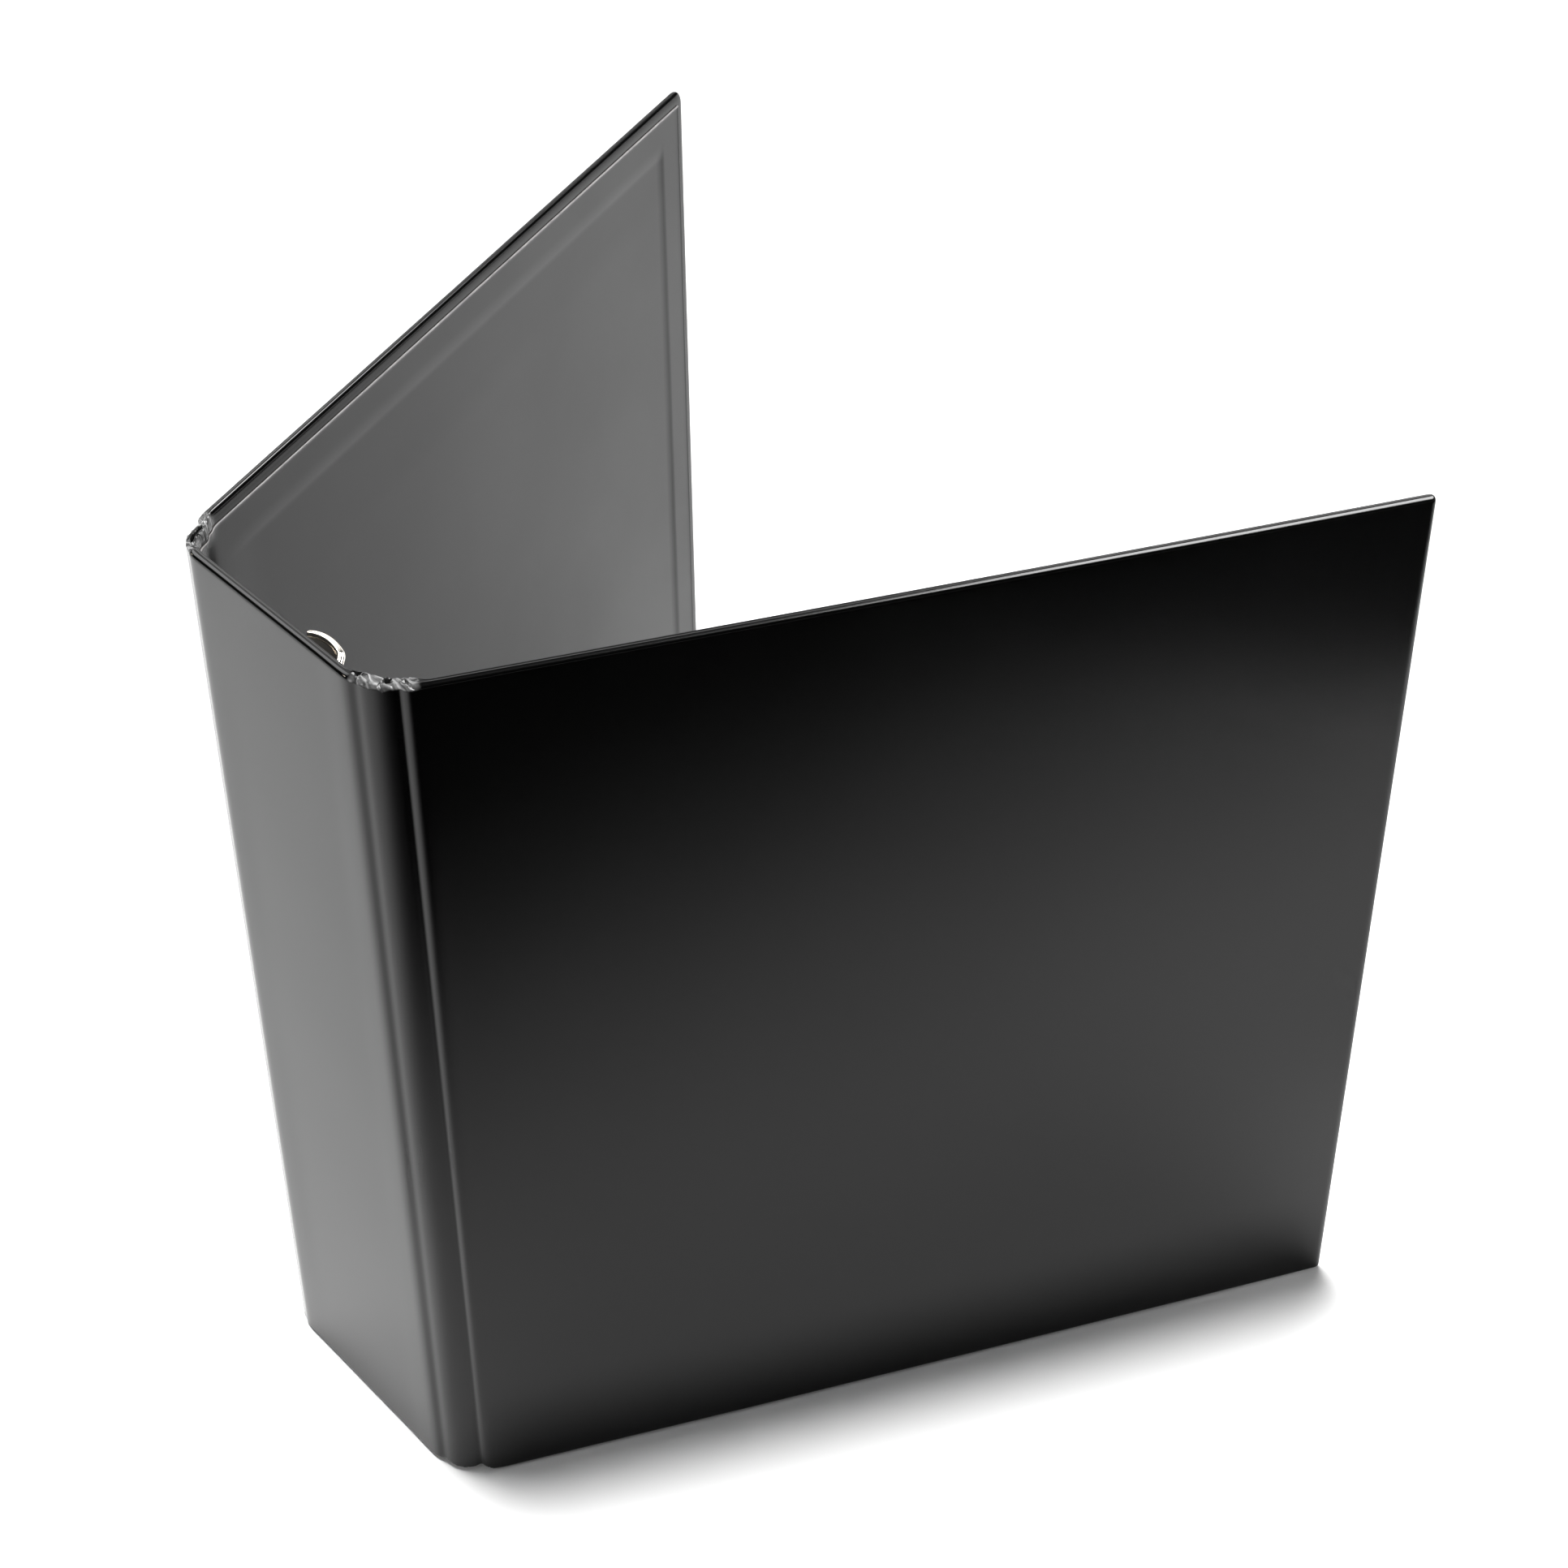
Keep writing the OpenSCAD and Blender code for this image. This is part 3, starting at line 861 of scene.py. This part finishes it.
def lever(name, sign):
    """A ring lever; sign is -1 for the lower one, which is the upper one mirrored."""
    shape = Shape()
    thumb_plate(shape)
    rolled_lip(shape)
    lean = math.radians(lever_lean)
    leaned = [
        (x, y * math.cos(lean) - z * math.sin(lean), y * math.sin(lean) + z * math.cos(lean))
        for x, y, z in shape.points
    ]
    shape.points = leaned
    barrel(shape)
    tongue(shape)
    pivot = Vector(next(j["pos_m"] for j in frame["joints"] if j["name"] == name + "_pivot"))
    mesh = bpy.data.meshes.new(name + "_metal")
    placed = [pivot + Vector((x, y, sign * z)) * MM for x, y, z in shape.points]
    faces = shape.faces if sign > 0 else [f[::-1] for f in shape.faces]
    mesh.from_pydata(placed, [], faces)
    mesh.materials.append(looks["nickel"])
    sizes = np.array([len(f) for f in faces])
    mesh.polygons.foreach_set("use_smooth", (sizes == 4).tolist())
    mesh.update()
    piece = bpy.data.objects.new(name + "_metal", mesh)
    bpy.context.scene.collection.objects.link(piece)
    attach(piece, name)
    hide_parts(name)


# Stage, in metres

floor_size = (60, 60)
no_fade = (-100, -99)


def card(name, centre, turn, size):
    """A flat stage card that faces along its own +Z."""
    w, h = size[0] / 2, size[1] / 2
    mesh = bpy.data.meshes.new(name)
    mesh.from_pydata([(-w, -h, 0), (w, -h, 0), (w, h, 0), (-w, h, 0)], [], [(0, 1, 2, 3)])
    made = bpy.data.objects.new(name, mesh)
    made.location = centre
    made.rotation_euler = turn
    bpy.context.scene.collection.objects.link(made)
    return made


def make_floor():
    floor = card("floor", (0, 0, 0), (0, 0, 0), floor_size)
    m = Nodes("pale_floor")
    tint = m.ramp(m.noise(2), (0.90, 0.90, 0.90), (0.92, 0.92, 0.92))
    m.join(tint, m.shader.inputs["Base Color"])
    m.shader.inputs["Roughness"].default_value = 1
    m.shader.inputs["Specular IOR Level"].default_value = 0
    floor.data.materials.append(m.material)


def only_reflected(thing):
    """Hides a stage thing from everything but mirror reflections."""
    thing.visible_camera = False
    thing.visible_diffuse = False
    thing.visible_shadow = False
    thing.visible_transmission = False


def dark_card(name, centre, turn, size, fade_x, fade_y=no_fade, strength=1):
    """A dark card just above the floor, which fades in across its own X and its own Y.

    fade_x and fade_y are the (start, end) of each fade.
    """
    made = card(name, centre, (0, 0, math.radians(turn)), size)
    material = bpy.data.materials.new(name)
    material.use_nodes = True
    tree = material.node_tree
    tree.nodes.clear()
    out = tree.nodes.new("ShaderNodeOutputMaterial")
    clear = tree.nodes.new("ShaderNodeBsdfTransparent")
    dark = tree.nodes.new("ShaderNodeBsdfDiffuse")
    dark.inputs["Color"].default_value = (0.002, 0.002, 0.002, 1)
    mix = tree.nodes.new("ShaderNodeMixShader")
    place = tree.nodes.new("ShaderNodeTexCoord")
    split = tree.nodes.new("ShaderNodeSeparateXYZ")
    both = tree.nodes.new("ShaderNodeMath")
    both.operation = "MULTIPLY"
    tree.links.new(place.outputs["Object"], split.inputs[0])
    for k, (span, most) in enumerate(((fade_x, strength), (fade_y, 1))):
        fade = tree.nodes.new("ShaderNodeMapRange")
        fade.interpolation_type = "SMOOTHSTEP"
        fade.inputs["From Min"].default_value = span[0]
        fade.inputs["From Max"].default_value = span[1]
        fade.inputs["To Max"].default_value = most
        tree.links.new(split.outputs[k], fade.inputs["Value"])
        tree.links.new(fade.outputs["Result"], both.inputs[k])
    tree.links.new(both.outputs[0], mix.inputs["Fac"])
    tree.links.new(clear.outputs[0], mix.inputs[1])
    tree.links.new(dark.outputs[0], mix.inputs[2])
    tree.links.new(mix.outputs[0], out.inputs["Surface"])
    made.data.materials.append(material)
    only_reflected(made)


def make_dark_cards():
    """Two dark cards at the camera's foot and one in the binder's mouth, for reflections.

    They leave the near cover black towards its head, and dim the liner by the far hinge. The mouth card is painted
    shade: it stands in for the dimmer floor between the covers.
    """
    dark_card("dark_front", (1.55, -1.09, 0.0005), -43.4, (4, 5), (-1.83, -1.56), (-0.52, -0.17))
    dark_card("dark_right", (2.44, 0, 0.0008), 0, (4, 6), (-2.0, -1.92))
    # Painted shade: a dark card between the covers, for the liner to reflect
    dark_card("dark_mouth", (0.078, 0.46, 0.0011), -23.5, (0.3, 0.5), (-0.15, -0.08), strength=0.3)


def make_world():
    world = bpy.data.worlds.new("world")
    bpy.context.scene.world = world
    world.use_nodes = True
    world.node_tree.nodes["Background"].inputs["Color"].default_value = (1, 1, 1, 1)
    world.node_tree.nodes["Background"].inputs["Strength"].default_value = 0.02


def aim(thing, place, target):
    """Puts a light at place, pointing at target."""
    thing.location = place
    thing.rotation_euler = (Vector(target) - Vector(place)).to_track_quat("-Z", "Y").to_euler()


def soft_box(name, azimuth, height, distance, size, radiance):
    """A soft box that only reflections see, at an azimuth and an elevation in degrees."""
    a, h = math.radians(azimuth), math.radians(height)
    target = Vector((0.03, 0.08, 0.25))
    way = Vector((math.cos(a) * math.cos(h), math.sin(a) * math.cos(h), math.sin(h)))
    data = bpy.data.lights.new(name, "AREA")
    data.shape = "RECTANGLE"
    data.size, data.size_y = size
    data.energy = radiance * math.pi * size[0] * size[1]
    light = bpy.data.objects.new(name, data)
    bpy.context.scene.collection.objects.link(light)
    aim(light, target + distance * way, target)
    only_reflected(light)


def overhead(name, energy, angle, place):
    """A soft distant light that shines from place towards the binder; reflections miss it."""
    sun = bpy.data.lights.new(name, "SUN")
    sun.energy = energy
    sun.angle = math.radians(angle)
    light = bpy.data.objects.new(name, sun)
    bpy.context.scene.collection.objects.link(light)
    aim(light, place, (0, 0, 0))
    light.visible_glossy = False


def lamp(name, place, target, size, watts):
    """A small soft lamp that lifts the floor near it; reflections do not see it."""
    data = bpy.data.lights.new(name, "AREA")
    data.size = size
    data.energy = watts
    light = bpy.data.objects.new(name, data)
    bpy.context.scene.collection.objects.link(light)
    aim(light, place, target)
    light.visible_glossy = False
    light.visible_camera = False


def make_lights():
    """Overhead light for the floor, and soft boxes for the shine on edges and metal."""
    overhead("key", 3.5, 5.5, (-0.064, -0.007, 1))
    overhead("wide_key", 2.6, 32, (-0.325, 0.137, 0.95))
    overhead("fill", 0.3, 60, (0.5, -0.3, 0.8))
    lamp("left_lamp", (-0.45, -0.22, 0.8), (-0.3, -0.15, 0), 0.4, 1.3)
    lamp("hinge_lamp", (0.03, -0.08, 0.05), (0.06, -0.02, 0), 0.05, 0.014)
    lamp("fore_lamp", (0.215, 0.28, 0.05), (0.17, 0.23, 0), 0.05, 0.014)
    soft_box("backdrop", 137, 34, 4, (3.6, 1.8), 1.2)
    soft_box("horizon", 146, 9, 4, (4.4, 1.1), 2.2)
    soft_box("back_box", 62, 54, 3, (2.6, 1.9), 29)
    soft_box("left_box", 186, 42, 3, (2.0, 1.5), 6)


# Camera

camera_place = Vector((0.5475, -0.3002, 0.7283))
camera_turn = 49.60
camera_pitch = 38.83
camera_roll = -0.39
camera_lens = 70.06


def make_camera():
    """A camera that looks down at the spine's front corner."""
    data = bpy.data.cameras.new("camera")
    data.lens = camera_lens
    data.sensor_width = 36
    camera = bpy.data.objects.new("camera", data)
    bpy.context.scene.collection.objects.link(camera)
    turn = Matrix.Rotation(math.radians(camera_turn), 4, "Z")
    tilt = Matrix.Rotation(math.radians(90 - camera_pitch), 4, "X")
    roll = Matrix.Rotation(math.radians(camera_roll), 4, "Z")
    camera.matrix_world = Matrix.Translation(camera_place) @ turn @ tilt @ roll
    bpy.context.scene.camera = camera


paint_cad_nodes()
lever("upper_lever", 1)
lever("lower_lever", -1)
spine_wrap()
spine_liner()
for side in ("front", "back"):
    cover_wrap(side)
    cover_liner(side)
    for which in (0, 1):
        hinge_wrap(side, which)
        hinge_liner(side, which)
make_floor()
make_dark_cards()
make_world()
make_lights()
make_camera()
bpy.context.scene.view_settings.view_transform = "Standard"
